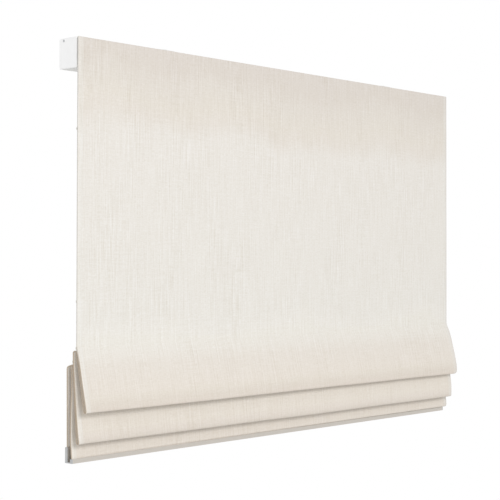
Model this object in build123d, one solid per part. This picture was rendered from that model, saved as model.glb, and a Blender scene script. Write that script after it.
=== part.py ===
from build123d import *
import os

# A roman blind, held part way up. X runs along the width, the wall is the plane Y = 0 with the
# room on its -Y side, and Z is up. The origin is the middle of the bracket screws, on the wall.

# Overall sizes
cloth_width = 1000.0
cloth_top = 20.0  # height of the cloth's top edge over the bracket screws' middle
panel_drop = 465.0  # flat cloth, from its top edge to where the stacked folds start
cloth_thickness = 2.0  # face cloth and lining together

# Clearances
slide_gap = 0.15  # round whatever slides into the headrail or over a rail's end
shaft_gap = 0.05  # round a piece that is keyed to the shaft
running_gap = 0.1  # round a bearing or a screw
soft_gap = 0.3  # between a sewn piece and the cloth behind it
over_cut = 1.0  # how far a cutting shape runs past the surface that it opens

# Headrail: a white extruded channel, open along its top
rail_depth = 41.0
rail_height = 47.0
rail_wall = 1.6
rail_corner = 2.4  # radius of the outside corners
rail_slot = 15.0  # opening between the two top flanges
front_flange = 10.0  # width of the flange on the room side
rail_side_inset = 1.0  # each end stands this far inside the cloth's edge
lip_drop = 2.6  # down-turned lips along the slot
port_radius = 2.7  # screw port for the end cap's screw
port_bore = 1.3
port_from_rear = 11.0
port_below_top = 4.0

# End caps
cap_thickness = 2.2
cap_edge = 0.9  # bevel round the outer face
spigot_length = 12.0
spigot_wall = 1.6
screw_head_radius = 2.0
screw_head_height = 1.1
screw_head_sink = 0.2  # the head lies this far under the cap's face
screw_length = 13.0
screw_radius = 1.2
screw_slot_width = 0.7
screw_slot_depth = 0.5

# Touch tape that carries the cloth
tape_height = 18.0
tape_thickness = 1.5
tape_below_top = 1.0
hook_tape_inset = 3.0  # from the ends of the rail
loop_tape_inset = 6.0  # from the edges of the cloth

# Brackets on the wall
bracket_metal = 2.0
bracket_gap = 0.2  # between the bracket's upright and the headrail
bracket_width = 40.0
bracket_offset = 300.0  # each bracket from the blind's middle
bracket_hole_radius = 2.4
bracket_hole_pitch = 20.0
bracket_foot = 10.0  # metal beyond the outer screw holes
bracket_corner = 5.0
bracket_overhang = 6.0  # the top plate past the slot, towards the room
hook_width = 22.0
hook_reach = 2.2  # how far the fixed hook grips under the rear flange
hook_gap = 1.15  # between the hook's toe and the flange's lip
bend_radius = 2.0  # inside the bracket's bends
toe_radius = 1.2  # middle of the hook's tight bend
pivot_radius = 3.0
pivot_forward = 2.0  # the pivot from the slot's middle, towards the room
cam_half_width = 5.3
cam_reach = 12.5
cam_thickness = 2.0
cam_corner = 3.0
cam_gap = 0.4  # between the cam and the front flange's lip
lever_length = 22.0
lever_width = 7.0
lever_hub_radius = 6.0
lever_thickness = 2.0

# Lift shaft and what it turns in
shaft_radius = 3.2
shaft_flat = 0.8
shaft_end_inset = 30.0
bearing_inset = 45.0  # bearing plates from the ends of the channel
bearing_hub_length = 6.4
bearing_plate = 2.4
bearing_foot_length = 16.0
bearing_shoulder = 4.0  # plate above the hub
bearing_frame = 5.0  # plate left over and under each window
window_width = 7.0
window_from_shaft = 8.5
line_inset = 120.0  # the outer lift lines from the cloth's edges

# Cord drums and their cradles
drum_radius = 10.0  # where the cord lies, over the ribs
drum_rim = 3.5  # the flanges stand this much over the ribs
drum_flange = 1.6
drum_length = 32.0
drum_ribs = 6
drum_rib_width = 2.2
knot_slot_width = 2.0
knot_slot_depth = 2.6
journal_wall = 2.8  # round the shaft
journal_length = 5.0
cradle_cheek = 3.2
cradle_base = 3.0
cradle_side = 1.8
cradle_side_height = 17.0  # of the tray's long walls between the cheeks
cradle_corner = 4.0  # wall left beside each cheek
cradle_cheek_rise = 7.0  # cheeks reach this far over the shaft
cradle_end_gap = 0.5

# Cord outlets in the channel's floor
outlet_hole_radius = 4.2
outlet_bore = 2.4
outlet_flange_radius = 6.6
outlet_flange = 1.6
outlet_flare = 1.2
outlet_stand = 1.4  # the outlet's collar stands this far over the channel's floor

# Spring cassette that balances the blind's weight
spring_offset = -150.0
case_radius = 17.0
case_length = 28.0
case_wall = 2.0
case_foot = 3.0
case_web = 4.0  # thickness of the two webs between foot and cup
arbor_wall = 2.2  # round the shaft
arbor_stand = 1.0  # the arbor's ends outside the cassette
hook_depth = 0.9  # how far the spring's inner end sits in the arbor's groove
groove_width = 1.0
spring_turns = 3
spring_metal = 0.5
spring_width = 20.0

# Brake that holds the blind where it is left
brake_offset = 150.0
brake_length = 18.0
brake_width = 26.0
brake_rise = 11.0  # top of the block over the shaft
brake_corner = 3.0
brake_foot = 2.6
brake_foot_reach = 4.0  # the foot beyond each end of the block
brake_slit = 1.2
brake_screw_radius = 2.0
brake_screw_head = 3.4
brake_screw_height = 2.4
brake_slot_width = 0.9
brake_slot_depth = 0.8
brake_screw_out = 7.5  # the clamp screw from the shaft's axis

# Rods, their pockets and rings
rod_radius = 1.5
rod_inset = 6.0
tip_wall = 0.4
tip_length = 9.0
tip_end = 1.0  # solid end beyond the rod
tip_gap = 0.2  # between a rod's tip and the pocket
pocket_wall = 0.6
pocket_inset = 3.0
pocket_stem = 1.2  # sewn tab between the pocket and the cloth
pocket_stem_width = 1.4
rod_pitch = 263.0
rod_above_stack = 62.0  # the lower of the two free rods, over the start of the stack
ring_hole_radius = 3.4
ring_rim = 1.8
ring_thickness = 2.2
clip_wall = 1.0
clip_gap = 0.1
clip_grip = 1.6  # how far the clip's jaws reach past the rod's axis

# Stacked folds, as drops below the flat panel's lower edge and depths from its front face
fold_drops = (106.0, 155.0)  # lowest points of the two front folds
fold_depths = (-21.0, -7.0)  # their front faces, negative towards the room
crest_drops = (13.0, 33.0)  # highest points between the folds, where the rods are
crest_depths = (3.4, 11.0)
fold_pitch = 5.4  # between the two layers at the foot of a fold
crest_pitch = 6.2  # between the two layers at a crest
fold_bend = 0.47  # radius of a fold's foot, as a share of its pitch
crest_bend = 0.45
shoulder_bend = 0.7  # of the last crest's rear corner
hang_straight = 6.0  # below the flat panel, before the cloth swings out over the folds
hang_bend = 30.0
front_layer_start = 1.2  # the front layer starts this far under the last crest
hem_drop = 177.0  # bottom of the front layer's hem
hem_straight = 2.0  # of the hem, over the rail's front lip
hem_depth = 11.5
back_layer_depth = 24.0  # middle of the layer that hangs behind, down to the bottom rail
back_layer_fall = 4.0  # its shoulder is this much lower than the crest

# Bottom rail: a J-shaped extrusion that grips both layers of the hem
bottom_drop = 184.0
bottom_height = 24.0
grip_wall = 1.2
web_thickness = 1.6
lip_height = 6.8
hem_grip = 3.2
back_grip = 9.0
grip_floor = 1.4  # wall between the rear groove and the hollow under it
bottom_cap = 1.5
plug_length = 10.0
plug_gap = 0.2
anchor_width = 14.0
anchor_height = 12.0
anchor_depth = 4.0
anchor_corner = 1.6
anchor_rise = 3.0  # over the rail's underside
anchor_hole_radius = 1.2

# Places worked out from the sizes above
rail_back = -(bracket_metal + bracket_gap)
rail_front = rail_back - rail_depth
rail_mid = (rail_back + rail_front) / 2
slot_front = rail_front + front_flange
slot_back = slot_front + rail_slot
rail_top = cloth_top
rail_foot = rail_top - rail_height
floor_top = rail_foot + rail_wall
flange_under = rail_top - rail_wall
inside_front = rail_front + rail_wall + slide_gap  # faces of what slides into the channel
inside_back = rail_back - rail_wall - slide_gap
cap_screw_y = rail_back - port_from_rear
cap_screw_z = rail_top - port_below_top
cloth_back = rail_front - 2 * tape_thickness
face = cloth_back - cloth_thickness  # the flat panel's front face
panel_foot = cloth_top - panel_drop
channel_length = cloth_width - 2 * rail_side_inset - 2 * cap_thickness
shaft_z = (floor_top + flange_under) / 2
journal_radius = shaft_radius + journal_wall
arbor_radius = shaft_radius + arbor_wall
drum_flange_radius = drum_radius + drum_rim
line_places = (-cloth_width / 2 + line_inset, 0.0, cloth_width / 2 - line_inset)
cord_y = rail_mid - drum_radius  # the lift lines drop from the drums' front
pivot_y = (slot_front + slot_back) / 2 - pivot_forward
pocket_bore = rod_radius + tip_wall + tip_gap
pocket_radius = pocket_bore + pocket_wall
ring_radius = ring_hole_radius + ring_rim
rod_drops = (panel_drop - rod_above_stack - rod_pitch, panel_drop - rod_above_stack)
bottom_low = panel_foot - bottom_drop
grip_half = cloth_thickness / 2 + slide_gap  # half of a groove that grips the cloth
hem_middle = hem_depth + cloth_thickness / 2


def depth(value):
    """Y of a depth behind the flat panel's front face."""
    return face + value


def along_x(section, length, middle=0.0):
    """A YZ section run along X, centred on a place."""
    return Pos(middle, 0, 0) * extrude(section, length / 2, dir=(1, 0, 0), both=True)


def block(x_size, y_low, y_high, z_low, z_high, middle=0.0):
    """A box by its limits in Y and Z and its middle in X."""
    centre = ((y_low + y_high) / 2, (z_low + z_high) / 2)
    return along_x(Plane.YZ * Pos(*centre) * Rectangle(y_high - y_low, z_high - z_low), x_size, middle)


def disc(radius, length, y, z, middle=0.0):
    """A round bar along X."""
    return along_x(Plane.YZ * Pos(y, z) * Circle(radius), length, middle)


def section_box(y_low, y_high, z_low, z_high, corner=0.0):
    """A rectangle in the YZ plane, with round corners if asked."""
    width = y_high - y_low
    height = z_high - z_low
    shape = RectangleRounded(width, height, corner) if corner else Rectangle(width, height)
    return Pos((y_low + y_high) / 2, (z_low + z_high) / 2) * shape


def shaft_section(gap=0.0):
    """The shaft's round section with its flat, larger by a gap for a bore."""
    radius = shaft_radius + gap
    flat_z = radius - shaft_flat
    return Circle(radius) - Pos(0, flat_z + radius) * Rectangle(4 * radius, 2 * radius)


# Headrail

def channel_section():
    """Outer form, hollow, slot with lips, and the port for the end screws."""
    outer = section_box(rail_front, rail_back, rail_foot, rail_top, rail_corner)
    hollow = section_box(rail_front + rail_wall, rail_back - rail_wall, floor_top, flange_under)
    slot = section_box(slot_front, slot_back, flange_under - over_cut, rail_top + over_cut)
    section = outer - hollow - slot
    lip_foot = flange_under - lip_drop
    for lip_start in (slot_front - rail_wall, slot_back):
        section += section_box(lip_start, lip_start + rail_wall, lip_foot, rail_top - rail_wall / 2)
    port = Pos(cap_screw_y, cap_screw_z)
    section += port * Circle(port_radius)
    return section - port * Circle(port_bore)


def headrail_channel():
    channel = along_x(Plane.YZ * channel_section(), channel_length)
    for place in line_places:
        channel -= Pos(place, cord_y, rail_foot) * Cylinder(outlet_hole_radius, 4 * rail_wall)
    return channel


def end_cap(side):
    """A plate with a bevelled outer edge and a hollow spigot that fits inside the channel."""
    inner_face = side * channel_length / 2
    outer_x = inner_face + side * cap_thickness
    outline = Plane.YZ * section_box(rail_front, rail_back, rail_foot, rail_top, rail_corner)
    plate = Pos(inner_face, 0, 0) * extrude(outline, cap_thickness, dir=(side, 0, 0))
    outer_face = plate.faces().sort_by(Axis.X)[-1 if side > 0 else 0]
    plate = chamfer(outer_face.edges(), min(cap_edge, cap_thickness / 2))

    low = floor_top + slide_gap
    high = cap_screw_z - port_radius - slide_gap
    walls = section_box(inside_front, inside_back, low, high) - section_box(
        inside_front + spigot_wall, inside_back - spigot_wall, low + spigot_wall, high - spigot_wall
    )
    spigot = Pos(inner_face, 0, 0) * extrude(Plane.YZ * walls, spigot_length, dir=(-side, 0, 0))
    hole = disc(screw_radius + running_gap, 4 * cap_thickness, cap_screw_y, cap_screw_z, inner_face)
    recess_depth = 2 * (screw_head_height + screw_head_sink)
    recess = disc(screw_head_radius + screw_head_sink, recess_depth, cap_screw_y, cap_screw_z, outer_x)
    return plate + spigot - hole - recess


def end_cap_screws():
    """One slotted pan-head screw at each end, in the channel's port."""
    screws = []
    for side in (-1, 1):
        top = side * (channel_length / 2 + cap_thickness - screw_head_sink)
        seat = top - side * screw_head_height
        head = disc(screw_head_radius, screw_head_height, cap_screw_y, cap_screw_z, (top + seat) / 2)
        shank = disc(screw_radius, screw_length, cap_screw_y, cap_screw_z, seat - side * screw_length / 2)
        slot = Box(2 * screw_slot_depth, 4 * screw_head_radius, screw_slot_width)
        screws.append(head + shank - Pos(top, cap_screw_y, cap_screw_z) * slot)
    return Compound(children=screws)


def hook_tape():
    top = rail_top - tape_below_top
    length = channel_length - 2 * hook_tape_inset
    return block(length, rail_front - tape_thickness, rail_front, top - tape_height, top)


def loop_tape():
    top = rail_top - tape_below_top
    length = cloth_width - 2 * loop_tape_inset
    return block(length, cloth_back, rail_front - tape_thickness, top - tape_height, top)


# Shaft, bearings, drums and cradles

def lift_shaft():
    length = channel_length - 2 * shaft_end_inset
    return along_x(Plane.YZ * Pos(rail_mid, shaft_z) * shaft_section(), length)


def shaft_bearing(side):
    """A windowed plate across the channel, with its foot and a hub on the inner side."""
    middle = side * (channel_length / 2 - bearing_inset)
    low = floor_top
    high = shaft_z + journal_radius + bearing_shoulder
    plate = along_x(Plane.YZ * section_box(inside_front, inside_back, low, high), bearing_plate, middle)
    foot = block(bearing_foot_length, inside_front, inside_back, low, low + bearing_plate, middle)
    hub_middle = middle - side * (bearing_hub_length - bearing_plate) / 2
    hub = disc(journal_radius, bearing_hub_length, rail_mid, shaft_z, hub_middle)
    bore = disc(shaft_radius + running_gap, 2 * bearing_foot_length, rail_mid, shaft_z, middle)
    bearing = plate + foot + hub - bore
    for window_side in (-1, 1):
        window_mid = rail_mid + window_side * (window_from_shaft + window_width / 2)
        bearing -= block(
            bearing_hub_length,
            window_mid - window_width / 2,
            window_mid + window_width / 2,
            low + bearing_frame,
            high - bearing_frame,
            middle,
        )
    return bearing


def cord_drum(place):
    """Ribs on a hub between two flanges. The hub's ends are the journals, and it is keyed to the shaft."""
    turned = disc(journal_radius, drum_length + 2 * journal_length, 0, 0)
    for side in (-1, 1):
        turned += disc(drum_flange_radius, drum_flange, 0, 0, side * (drum_length - drum_flange) / 2)
    rib = block(drum_length - drum_flange, -drum_rib_width / 2, drum_rib_width / 2, 0, drum_radius)
    for step in range(drum_ribs):
        turned += Rot(360 / drum_ribs * step, 0, 0) * rib
    knot_slot = block(
        2 * drum_flange,
        -knot_slot_width / 2,
        knot_slot_width / 2,
        drum_flange_radius - knot_slot_depth,
        drum_flange_radius + over_cut,
        drum_length / 2,
    )
    bore = along_x(Plane.YZ * shaft_section(shaft_gap), 2 * drum_length)
    return Pos(place, rail_mid, shaft_z) * (turned - bore - knot_slot)


def drum_cradle(place):
    """A tray with two cheeks that carry the drum's journals, open at the top."""
    cheek_face = drum_length / 2 + cradle_end_gap
    length = 2 * (cheek_face + cradle_cheek)
    low = floor_top
    rim = shaft_z + cradle_cheek_rise
    above = rim + over_cut
    tray = block(length, inside_front, inside_back, low, rim)
    wall_front = inside_front + cradle_side
    wall_back = inside_back - cradle_side
    hollow = block(2 * cheek_face, wall_front, wall_back, low + cradle_base, above)
    side_cut = block(
        2 * (cheek_face - cradle_corner),
        inside_front - over_cut,
        inside_back + over_cut,
        low + cradle_side_height,
        above,
    )
    seat_radius = journal_radius + running_gap
    seat = disc(seat_radius, 2 * length, rail_mid, shaft_z)
    mouth = block(2 * length, rail_mid - seat_radius, rail_mid + seat_radius, shaft_z, above)
    collar_room = Pos(0, cord_y, low) * Cylinder(outlet_hole_radius + soft_gap, 4 * cradle_base)
    return Pos(place, 0, 0) * (tray - hollow - side_cut - seat - mouth - collar_room)


def cord_outlet(place):
    """A flanged eyelet in the channel's floor, with a flared mouth below."""
    low = rail_foot - outlet_flange
    high = floor_top + outlet_stand
    collar_radius = outlet_hole_radius - slide_gap
    profile = Polyline(
        (outlet_bore + outlet_flare, low),
        (outlet_flange_radius, low),
        (outlet_flange_radius, rail_foot),
        (collar_radius, rail_foot),
        (collar_radius, high),
        (outlet_bore, high),
        (outlet_bore, low + outlet_flare),
        (outlet_bore + outlet_flare, low),
    )
    section = make_face(Plane.XZ * profile)
    return Pos(place, cord_y, 0) * revolve(section, Axis.Z)


# Spring cassette and brake

def spring_case():
    """A round cup on a flat foot that stands on the channel's floor."""
    body = disc(case_radius, case_length, rail_mid, shaft_z, spring_offset)
    foot = block(case_length, inside_front, inside_back, floor_top, floor_top + case_foot, spring_offset)
    for side in (-1, 1):
        web_mid = rail_mid + side * (case_radius - case_web + over_cut)
        web_low = web_mid - case_web / 2
        foot += block(case_length, web_low, web_low + case_web, floor_top, shaft_z - case_wall, spring_offset)
    cavity = disc(case_radius - case_wall, case_length, rail_mid, shaft_z, spring_offset + case_wall)
    bearing = disc(arbor_radius + running_gap, 3 * case_length, rail_mid, shaft_z, spring_offset)
    return body + foot - cavity - bearing


def spring_cover():
    """The cassette's lid: a disc with a step that plugs into the cup."""
    seat = spring_offset + case_length / 2
    plate = disc(case_radius, case_wall, rail_mid, shaft_z, seat + case_wall / 2)
    step = disc(case_radius - case_wall - slide_gap, case_wall, rail_mid, shaft_z, seat - case_wall / 2)
    bearing = disc(arbor_radius + running_gap, case_length, rail_mid, shaft_z, seat)
    return plate + step - bearing


def spring_arbor():
    """A sleeve keyed to the shaft, with a groove for the spring's inner hook."""
    length = case_length + case_wall + 2 * arbor_stand
    sleeve = disc(arbor_radius, length, 0, 0)
    sleeve -= along_x(Plane.YZ * shaft_section(shaft_gap), 2 * length)
    groove = block(
        spring_width + over_cut,
        -groove_width / 2,
        groove_width / 2,
        arbor_radius - hook_depth - slide_gap,
        arbor_radius + over_cut,
    )
    return Pos(spring_offset + case_wall / 2, rail_mid, shaft_z) * (sleeve - groove)


def spiral_spring():
    """A flat strip wound as half circles that grow by half a pitch, hooked at both ends."""
    first = arbor_radius + hook_depth
    wall = case_radius - case_wall - running_gap
    pitch = (wall - hook_depth - first) / spring_turns
    strip = Curve()
    start = Vector(0, first)
    radius = first
    centre = 0.0
    for half_turn in range(2 * spring_turns):
        side = 1 if half_turn % 2 == 0 else -1
        end = Vector(0, centre - side * radius)
        strip += ThreePointArc(start, Vector(side * radius, centre), end)
        radius += pitch / 2
        centre = end.Y + side * radius
        start = end
    inner_hook = Line((0, first), (0, arbor_radius - hook_depth))
    outer_hook = Line(start, (0, wall))
    line = trace(strip + outer_hook, line_width=spring_metal) + trace(inner_hook, line_width=spring_metal)
    return Pos(0, rail_mid, shaft_z) * along_x(Plane.YZ * line, spring_width, spring_offset + case_wall / 2)


def brake_block():
    """A split block that clamps the shaft, standing on the channel's floor."""
    half = brake_width / 2
    body = block(brake_length, rail_mid - half, rail_mid + half, floor_top, shaft_z + brake_rise, brake_offset)
    body = chamfer(body.edges().filter_by(Axis.X).sort_by(Axis.Z)[-2:], brake_corner)
    foot_length = brake_length + 2 * brake_foot_reach
    foot = block(foot_length, inside_front, inside_back, floor_top, floor_top + brake_foot, brake_offset)
    bore = disc(shaft_radius + running_gap, 2 * brake_length, rail_mid, shaft_z, brake_offset)
    slit_centre = Pos(brake_offset, rail_mid - brake_width / 2, shaft_z)
    slit = slit_centre * Box(2 * brake_length, brake_width, brake_slit)
    hole_radius = brake_screw_radius + running_gap
    screw_hole = Pos(brake_offset, rail_mid - brake_screw_out, shaft_z) * Cylinder(hole_radius, 3 * brake_rise)
    return body + foot - bore - slit - screw_hole


def brake_screw():
    """The clamp screw, with a slotted head on the block's top."""
    seat = shaft_z + brake_rise
    top = seat + brake_screw_height
    shank = Pos(0, 0, shaft_z) * Cylinder(brake_screw_radius, 2 * brake_rise)
    head = Pos(0, 0, (seat + top) / 2) * Cylinder(brake_screw_head, brake_screw_height)
    slot = Pos(0, 0, top) * Box(3 * brake_screw_head, brake_slot_width, 2 * brake_slot_depth)
    return Pos(brake_offset, rail_mid - brake_screw_out, 0) * (shank + head - slot)


# Wall brackets with their locking levers

def wall_bracket(side):
    """A bent strip, up the wall and over the channel, with a hook under the rear flange's lip."""
    middle = side * bracket_offset
    half = bracket_metal / 2
    low = -(bracket_hole_pitch / 2 + bracket_foot)
    over = rail_top + half
    front = slot_front - bracket_overhang
    outline = FilletPolyline((-half, low), (-half, over), (front, over), radius=bend_radius + half)
    body = along_x(Plane.YZ * trace(outline, line_width=bracket_metal), bracket_width, middle)
    body = fillet(body.edges().filter_by(Axis.Y).group_by(Axis.Z)[0], bracket_corner)
    for step in (-1, 1):
        hole_z = step * bracket_hole_pitch / 2
        body -= Pos(middle, 0, hole_z) * Rot(90, 0, 0) * Cylinder(bracket_hole_radius, 6 * bracket_metal)
    web = slot_back - slide_gap - half
    toe = flange_under - lip_drop - hook_gap - half
    hook = FilletPolyline((web, over), (web, toe), (slot_back + hook_reach, toe), radius=toe_radius)
    hook = along_x(Plane.YZ * trace(hook, line_width=bracket_metal), hook_width, middle)
    pivot_hole = Pos(middle, pivot_y, rail_top) * Cylinder(pivot_radius + running_gap, 6 * bracket_metal)
    return body + hook - pivot_hole


def bracket_lever(side):
    """A cam under the front flange, a pivot through the plate and an arm on top of it."""
    arm_low = rail_top + bracket_metal + slide_gap
    pivot_high = arm_low + lever_thickness
    pivot_low = flange_under - lip_drop - cam_gap - cam_thickness
    pivot = Pos(0, 0, (pivot_high + pivot_low) / 2) * Cylinder(pivot_radius, pivot_high - pivot_low)
    cam_shape = Circle(cam_half_width) + Pos(0, -cam_reach / 2) * Rectangle(2 * cam_half_width, cam_reach)
    cam_shape = fillet(cam_shape.vertices().group_by(Axis.Y)[0], cam_corner)
    cam = Pos(0, 0, pivot_low) * extrude(cam_shape, cam_thickness)
    arm_shape = Circle(lever_hub_radius) + Pos(lever_length / 2, 0) * Rectangle(lever_length, lever_width)
    arm_shape += Pos(lever_length, 0) * Circle(lever_width / 2)
    arm = Pos(0, 0, arm_low) * extrude(arm_shape, lever_thickness)
    return Pos(side * bracket_offset, pivot_y, 0) * (pivot + cam + arm)


# Cloth

def fabric_panel():
    return block(cloth_width, face, cloth_back, panel_foot, cloth_top)


def fold_path():
    """Middle line of the cloth from the flat panel through both folds to the back layer's foot."""
    half = cloth_thickness / 2
    points = [(depth(half), panel_foot), (depth(half), panel_foot - hang_straight)]
    radii = [hang_bend]
    for fold in range(2):
        low = panel_foot - fold_drops[fold] + half
        front = depth(fold_depths[fold] + half)
        points += [(front, low), (front + fold_pitch, low)]
        radii += [fold_pitch * fold_bend, fold_pitch * fold_bend]
        high = panel_foot - crest_drops[fold] - half
        crest = depth(crest_depths[fold])
        if fold == 0:
            points += [(crest, high), (crest + crest_pitch, high)]
            radii += [crest_pitch * crest_bend, crest_pitch * crest_bend]
    points += [(crest, high), (depth(back_layer_depth), high - back_layer_fall)]
    radii += [crest_pitch * crest_bend, crest_pitch * shoulder_bend]
    points.append((depth(back_layer_depth), bottom_low + bottom_height - back_grip + slide_gap))
    return FilletPolyline(*points, radius=radii)


def front_layer():
    """The layer that shows as the lowest strip, from the last crest to its hem."""
    top = panel_foot - crest_drops[1] - cloth_thickness / 2 - front_layer_start
    hem = panel_foot - hem_drop
    return Polyline(
        (depth(crest_depths[1] + crest_pitch), top),
        (depth(hem_middle), hem + hem_straight),
        (depth(hem_middle), hem - hem_grip + slide_gap),
    )


def fabric_folds():
    section = trace(fold_path(), line_width=cloth_thickness)
    section += trace(front_layer(), line_width=cloth_thickness)
    return along_x(Plane.YZ * section, cloth_width)


# Rods with their pockets, tips and rings

def rod_place(index):
    """Y and Z of a rod's axis. The first two hang behind the panel, the others stand on the crests."""
    reach = pocket_radius + pocket_stem + soft_gap
    if index < 2:
        return cloth_back + reach, cloth_top - rod_drops[index]
    crest = index - 2
    y = depth(crest_depths[crest] + crest_pitch / 2)
    z = panel_foot - crest_drops[crest] + reach
    if crest == 1:
        z -= back_layer_fall * crest_pitch / 2 / (back_layer_depth - crest_depths[crest])
    return y, z


def on_crest(index):
    return index >= 2


def rod(index):
    y, z = rod_place(index)
    return disc(rod_radius, cloth_width - 2 * rod_inset, y, z)


def rod_pocket(index):
    """A sewn sleeve with the tab that joins it to the cloth."""
    y, z = rod_place(index)
    half = pocket_stem_width / 2
    stem_end = pocket_radius + pocket_stem
    stem = section_box(-half, half, -stem_end, 0) if on_crest(index) else section_box(-stem_end, 0, -half, half)
    section = Circle(pocket_radius) + stem - Circle(pocket_bore)
    return along_x(Plane.YZ * Pos(y, z) * section, cloth_width - 2 * pocket_inset)


def rod_tips(index):
    """A cap pushed on each end of the rod, inside the pocket."""
    y, z = rod_place(index)
    tips = []
    for side in (-1, 1):
        rod_end = side * (cloth_width / 2 - rod_inset)
        outer = disc(rod_radius + tip_wall, tip_length, y, z, rod_end + side * (tip_end - tip_length / 2))
        bore = disc(rod_radius, 2 * tip_length, y, z, rod_end - side * tip_length)
        tips.append(outer - bore)
    return Compound(children=tips)


def cord_rings(index):
    """A jaw snapped over the pocket at each lift line, with an eye that the line runs through."""
    y, z = rod_place(index)
    inner = pocket_radius + clip_gap
    outer = inner + clip_wall
    eye_start = y + inner + clip_wall / 3
    eye_y = max(cord_y, eye_start + ring_radius)
    half = ring_thickness / 2
    width = 2 * ring_radius
    rings = []
    for place in line_places:
        if on_crest(index):
            jaw = block(width, y - outer, y + outer, z - clip_grip, z + outer, place)
        else:
            jaw = block(width, y - clip_grip, y + outer, z - outer, z + outer, place)
        bore = disc(inner, 2 * width, y, z, place)
        arm = block(width, eye_start, eye_y, z - half, z + half, place)
        eye = Pos(place, eye_y, z) * Cylinder(ring_radius, ring_thickness)
        hole = Pos(place, eye_y, z) * Cylinder(ring_hole_radius, 3 * ring_thickness)
        rings.append(jaw - bore + arm + eye - hole)
    return Compound(children=rings)


# Bottom rail

def bottom_section():
    """J-shaped section: a tall back plate and a low front lip, each with a groove for the cloth."""
    rear = depth(back_layer_depth)
    front = depth(hem_middle)
    wall_half = grip_half + grip_wall
    rear_top = bottom_low + bottom_height
    lip_top = bottom_low + lip_height
    section = section_box(rear - wall_half, rear + wall_half, bottom_low, rear_top)
    section += section_box(front - wall_half, front + wall_half, bottom_low, lip_top)
    section += section_box(front, rear, bottom_low, bottom_low + web_thickness)
    section -= section_box(rear - grip_half, rear + grip_half, rear_top - back_grip, rear_top + over_cut)
    section -= section_box(front - grip_half, front + grip_half, lip_top - hem_grip, lip_top + over_cut)
    hollow_top = rear_top - back_grip - grip_floor
    return section - section_box(rear - grip_half, rear + grip_half, bottom_low + web_thickness, hollow_top)


def bottom_rail():
    return along_x(Plane.YZ * bottom_section(), cloth_width + 2 * slide_gap)


def bottom_rail_cap(side):
    """A plate that closes the rail's end, with a plug in the hollow of the back plate."""
    wall_half = grip_half + grip_wall
    rear = depth(back_layer_depth)
    front = depth(hem_middle)
    outline = section_box(rear - wall_half, rear + wall_half, bottom_low, bottom_low + bottom_height)
    outline += section_box(front - wall_half, rear, bottom_low, bottom_low + web_thickness)
    outline += section_box(front - wall_half, front + wall_half, bottom_low, bottom_low + lip_height)
    inner_face = side * (cloth_width / 2 + slide_gap)
    plate = Pos(inner_face, 0, 0) * extrude(Plane.YZ * outline, bottom_cap, dir=(side, 0, 0))
    plug_half = grip_half - slide_gap
    plug_high = bottom_low + bottom_height - back_grip - grip_floor - plug_gap
    plug = section_box(rear - plug_half, rear + plug_half, bottom_low + web_thickness + plug_gap, plug_high)
    return plate + Pos(inner_face, 0, 0) * extrude(Plane.YZ * plug, plug_length, dir=(-side, 0, 0))


def cord_anchors():
    """A small cleat behind the rail at each lift line, with a hole for the line's knot."""
    low = bottom_low + anchor_rise
    y_low = depth(back_layer_depth) + grip_half + grip_wall
    y_high = y_low + anchor_depth
    anchors = []
    for place in line_places:
        body = block(anchor_width, y_low, y_high, low, low + anchor_height, place)
        body = chamfer(body.edges().filter_by(Axis.Z).group_by(Axis.Y)[-1], anchor_corner)
        hole = Pos(place, (y_low + y_high) / 2, low) * Cylinder(anchor_hole_radius, 4 * anchor_height)
        anchors.append(body - hole)
    return Compound(children=anchors)


nodes = {
    "headrail_channel": headrail_channel(),
    "end_cap_left": end_cap(-1),
    "end_cap_right": end_cap(1),
    "end_cap_screws": end_cap_screws(),
    "hook_tape": hook_tape(),
    "loop_tape": loop_tape(),
    "lift_shaft": lift_shaft(),
    "shaft_bearing_left": shaft_bearing(-1),
    "shaft_bearing_right": shaft_bearing(1),
    "spring_case": spring_case(),
    "spring_cover": spring_cover(),
    "spring_arbor": spring_arbor(),
    "spiral_spring": spiral_spring(),
    "brake_block": brake_block(),
    "brake_screw": brake_screw(),
    "wall_bracket_left": wall_bracket(-1),
    "wall_bracket_right": wall_bracket(1),
    "bracket_lever_left": bracket_lever(-1),
    "bracket_lever_right": bracket_lever(1),
    "fabric_panel": fabric_panel(),
    "fabric_folds": fabric_folds(),
    "bottom_rail": bottom_rail(),
    "bottom_rail_cap_left": bottom_rail_cap(-1),
    "bottom_rail_cap_right": bottom_rail_cap(1),
    "cord_anchors": cord_anchors(),
}
for number, place in enumerate(line_places, start=1):
    nodes[f"cord_drum_{number}"] = cord_drum(place)
    nodes[f"drum_cradle_{number}"] = drum_cradle(place)
    nodes[f"cord_outlet_{number}"] = cord_outlet(place)
for index in range(4):
    nodes[f"rod_{index + 1}"] = rod(index)
    nodes[f"rod_pocket_{index + 1}"] = rod_pocket(index)
    nodes[f"rod_tips_{index + 1}"] = rod_tips(index)
    nodes[f"cord_rings_{index + 1}"] = cord_rings(index)

os.makedirs("parts", exist_ok=True)
for name, solid in nodes.items():
    export_step(solid, f"parts/{name}.step")
print(len(nodes), "nodes written")
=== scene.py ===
import math

import bpy
from mathutils import Matrix, Vector, noise


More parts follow.
